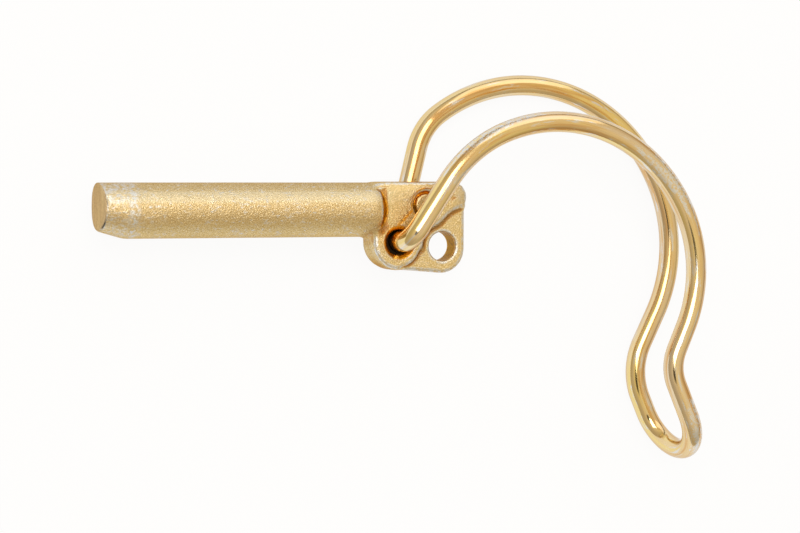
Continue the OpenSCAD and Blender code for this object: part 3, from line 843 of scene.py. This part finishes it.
def forged_plating(f):
    """Satin gold passivated zinc on a blasted forging, with orange where it is thick, silver where it is worn, a
    painted highlight on the shank and the nose, painted shade in its creases, holes and side walls, the near leg's
    painted shadow, and dark grease in the pivots and along the nose's near rim that is painted shade."""
    n = Nodes(bpy.data.materials.new("forged_gold_plating"))
    where = n.add("ShaderNodeTexCoord").outputs["Object"]
    c = n.clouds(where, FORGED_CLOUDS)
    m = n.values("rub", "corner", "stain", "grime_and_shade", "pits", "plain", "burr", "wall")
    place = n.add("ShaderNodeSeparateXYZ", {0: where}).outputs
    x, y = place["X"], place["Y"]
    shank = n.ramp(x, 0.0012, -0.0005)
    # thick: orange of thick plating, and of painted shade in the shoulder's groove and painted shadow beside the
    # near leg
    thick = n.most(n.times(m.stain, n.ramp(c.patch, 0.30, 0.50, 0.75, 1.0)),
                   n.times(m.pits, n.ramp(c.small, 0.50, 0.58)))
    orange = n.mix(n.ramp(c.small, 0.50, 0.60), f.pit_orange, f.deep_gold)
    gold = n.mix(thick, forged_gold(n, f, c, m, x, y, shank), orange)
    silver = n.times(forged_silver(n, c, m, x, y, shank), n.less(1.0, n.most(thick, m.plain)))
    tint = n.mix(silver, gold, f.rubbed_zinc)
    # painted shade: dark deep in the holes and along the nose's near rim
    dark = n.most(m.grime_and_shade, n.times(m.burr, n.ramp(c.patch, 0.36, 0.50, 0.3, 0.9)))
    rough = n.plus(n.ramp(c.patch, 0.3, 0.7, 0.17, 0.23), n.times(c.grain, 0.09))
    height = n.plus(c.grain, n.times(c.scuff, 0.6))
    height = n.less(height, n.times(m.pits, n.ramp(c.small, 0.50, 0.62, 0.0, 0.5)))
    height = n.times(height, n.ramp(shank, 0, 1, 0.7, 1.0))
    bump = n.add("ShaderNodeBump", {"Strength": 1.0, "Distance": 0.00010, "Height": height}).outputs[0]
    return metal_with_grease_and_shade(n, f, tint, rough, m.grime_and_shade, dark, bump)


def wire_plating(f):
    """Bright gold passivated zinc on drawn wire: streaks along the wire in its roughness and bump, painted
    reflections as dark and pale lines along it, silver where it is worn, and painted shade on the near foot in its
    hole.
    """
    n = Nodes(bpy.data.materials.new("wire_gold_plating"))
    c = n.clouds(n.value("wire", "Vector"), WIRE_CLOUDS)
    m = n.values("rub", "grime_and_shade")
    gold = n.mix(n.ramp(c.broad, 0.35, 0.68), f.wire_gold, tone(f.wire_gold, (0.96, 0.93, 0.88)))
    # painted reflections: dark and pale lines along the wire, standing in for the studio that it mirrors
    for pattern, start, full, strength, factors in WIRE_REFLECTION_LINES:
        amount = n.ramp(getattr(c, pattern), start, full, 0.0, strength)
        gold = n.mix(amount, gold, tone(f.wire_gold, factors))
    cover = n.plus(c.fleck, n.times(m.rub, 0.28))
    worn = n.times(n.ramp(cover, 0.61, 0.68), n.ramp(c.speck, 0.44, 0.53, 0.12, 0.95))
    thin = n.times(n.ramp(c.fleck, 0.57, 0.63), 0.8)
    tint = n.mix(n.most(worn, thin), gold, f.rubbed_zinc)
    rough = n.plus(n.ramp(c.streak, 0.3, 0.75, 0.10, 0.18), n.times(worn, 0.15))
    bump = n.add("ShaderNodeBump", {"Strength": 0.3, "Distance": 0.00002, "Height": c.streak}).outputs[0]
    return metal_with_grease_and_shade(n, f, tint, rough, m.grime_and_shade, m.grime_and_shade, bump,
                        **{"Coat Weight": 1.0, "Coat Roughness": 0.08, "Coat IOR": 1.5})


def pale_floor(f):
    """A pale floor that reads as white background and still takes a soft shadow."""
    n = Nodes(bpy.data.materials.new("pale_floor"))
    path = n.add("ShaderNodeLightPath").outputs
    seen = n.most(path["Is Camera Ray"], n.most(path["Is Glossy Ray"], path["Is Transmission Ray"]))
    white = n.add("ShaderNodeEmission", {"Color": (1, 1, 1, 1), "Strength": 1.0}).outputs[0]
    matt = n.add("ShaderNodeBsdfDiffuse", {"Color": (*f.floor, 1)}).outputs[0]
    return n.close(n.add("ShaderNodeMixShader", {0: n.times(seen, FLOOR_SHOWN), 1: matt, 2: white}))


# --- studio ---

def studio_world():
    """The room that the bright wire mirrors: the parts of ROOM, multiplied."""
    n = Nodes(bpy.data.worlds.new("studio"))
    where = n.add("ShaderNodeTexCoord").outputs["Generated"]
    level = None
    for axis, tint, stops in ROOM:
        toward = n.add("ShaderNodeVectorMath", {0: where, 1: Vector(axis).normalized()}, operation="DOT_PRODUCT")
        room = n.add("ShaderNodeValToRGB", {"Fac": toward.outputs["Value"]})
        for place, grey in stops:
            room.color_ramp.elements.new(place).color = (*(grey * t for t in tint), 1)
        # a new ramp comes with two stops of its own, one at each end
        room.color_ramp.elements.remove(room.color_ramp.elements[0])
        room.color_ramp.elements.remove(room.color_ramp.elements[-1])
        shade = room.outputs["Color"]
        level = shade if level is None else n.add("ShaderNodeVectorMath", {0: level, 1: shade},
                                                  operation="MULTIPLY").outputs["Vector"]
    return n.close(n.add("ShaderNodeBackground", {"Color": level, "Strength": 1.0}), "World")


def studio_floor(finish):
    """A very large floor just under the part."""
    low, far = CAD_BOX[0][2] * MM - FLOOR_GAP, FLOOR_REACH
    corners = np.array([[-far, -far, low], [far, -far, low], [far, far, low], [-far, far, low]])
    floor = put_mesh("studio_floor", corners, np.array([[0, 1, 2, 3]]))
    floor.data.materials.append(pale_floor(finish))
    return floor


def soft_light(name, place, aim, size, watts):
    """A soft light at place, in metres, facing aim."""
    lamp = bpy.data.lights.new(name, "AREA")
    lamp.shape, (lamp.size, lamp.size_y), lamp.energy = "RECTANGLE", size, watts
    obj = bpy.data.objects.new(name, lamp)
    turned = (Vector(aim) - Vector(place)).to_track_quat("-Z", "Y").to_matrix().to_4x4()
    obj.matrix_world = Matrix.Translation(place) @ turned
    bpy.context.scene.collection.objects.link(obj)


def studio_camera():
    """The camera, which looks down on the part from its nose side with a long lens."""
    lens = bpy.data.cameras.new("camera")
    lens.sensor_width, lens.lens = SENSOR, LENS
    lens.clip_start, lens.clip_end = CLIP
    camera = bpy.data.objects.new("camera", lens)
    turned = Matrix((CAMERA_RIGHT, CAMERA_UP, CAMERA_RIGHT.cross(CAMERA_UP))).transposed().to_4x4()
    camera.matrix_world = Matrix.Translation(CAMERA_PLACE) @ turned
    bpy.context.scene.collection.objects.link(camera)
    return camera


# --- operators ---

class LYNCHPIN_OT_make_pin(bpy.types.Operator):
    """Make the forged pin with its head, holes and nose"""
    bl_idname = "lynchpin.make_pin"
    bl_label = "Forged Pin"
    bl_options = {"REGISTER", "UNDO"}

    def execute(self, context):
        piece = make_pin(all_sizes(context.scene))
        piece.data.materials.append(forged_plating(context.scene.lynch_finish))
        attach(piece, "pin")
        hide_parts("pin")
        return {"FINISHED"}


class LYNCHPIN_OT_make_bow(bpy.types.Operator):
    """Make the bow of spring wire"""
    bl_idname = "lynchpin.make_bow"
    bl_label = "Spring Bow"
    bl_options = {"REGISTER", "UNDO"}

    def execute(self, context):
        piece = make_bow(all_sizes(context.scene))
        piece.data.materials.append(wire_plating(context.scene.lynch_finish))
        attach(piece, "bow")
        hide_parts("bow")
        return {"FINISHED"}


class LYNCHPIN_OT_make_stage(bpy.types.Operator):
    """Make the floor, the room, the soft lights and the camera"""
    bl_idname = "lynchpin.make_stage"
    bl_label = "Stage"
    bl_options = {"REGISTER", "UNDO"}

    def execute(self, context):
        floor = studio_floor(context.scene.lynch_finish)
        context.scene.world = studio_world()
        for name, settings in SOFTBOXES.items():
            soft_light(name, *settings)
        context.scene.camera = studio_camera()
        context.scene.view_settings.view_transform = "Standard"
        return {"FINISHED"}


class LYNCHPIN_PT_panel(bpy.types.Panel):
    """Lists the pieces of the lynch pin"""
    bl_label = "Lynch Pin"
    bl_idname = "LYNCHPIN_PT_panel"
    bl_space_type = "VIEW_3D"
    bl_region_type = "UI"
    bl_category = "Lynch Pin"

    def draw(self, context):
        column = self.layout.column(align=True)
        for kind in (LYNCHPIN_OT_make_pin, LYNCHPIN_OT_make_bow, LYNCHPIN_OT_make_stage):
            column.operator(kind.bl_idname)


CLASSES = (PinSizes, BowSizes, Finishes, LYNCHPIN_OT_make_pin, LYNCHPIN_OT_make_bow, LYNCHPIN_OT_make_stage,
           LYNCHPIN_PT_panel)


def register():
    for kind in CLASSES:
        bpy.utils.register_class(kind)
    bpy.types.Scene.lynch_pin = PointerProperty(type=PinSizes)
    bpy.types.Scene.lynch_bow = PointerProperty(type=BowSizes)
    bpy.types.Scene.lynch_finish = PointerProperty(type=Finishes)


def unregister():
    del bpy.types.Scene.lynch_finish, bpy.types.Scene.lynch_bow, bpy.types.Scene.lynch_pin
    for kind in reversed(CLASSES):
        bpy.utils.unregister_class(kind)


def main():
    register()
    bpy.ops.lynchpin.make_stage()
    bpy.ops.lynchpin.make_pin()
    bpy.ops.lynchpin.make_bow()


if __name__ == "__main__":
    main()
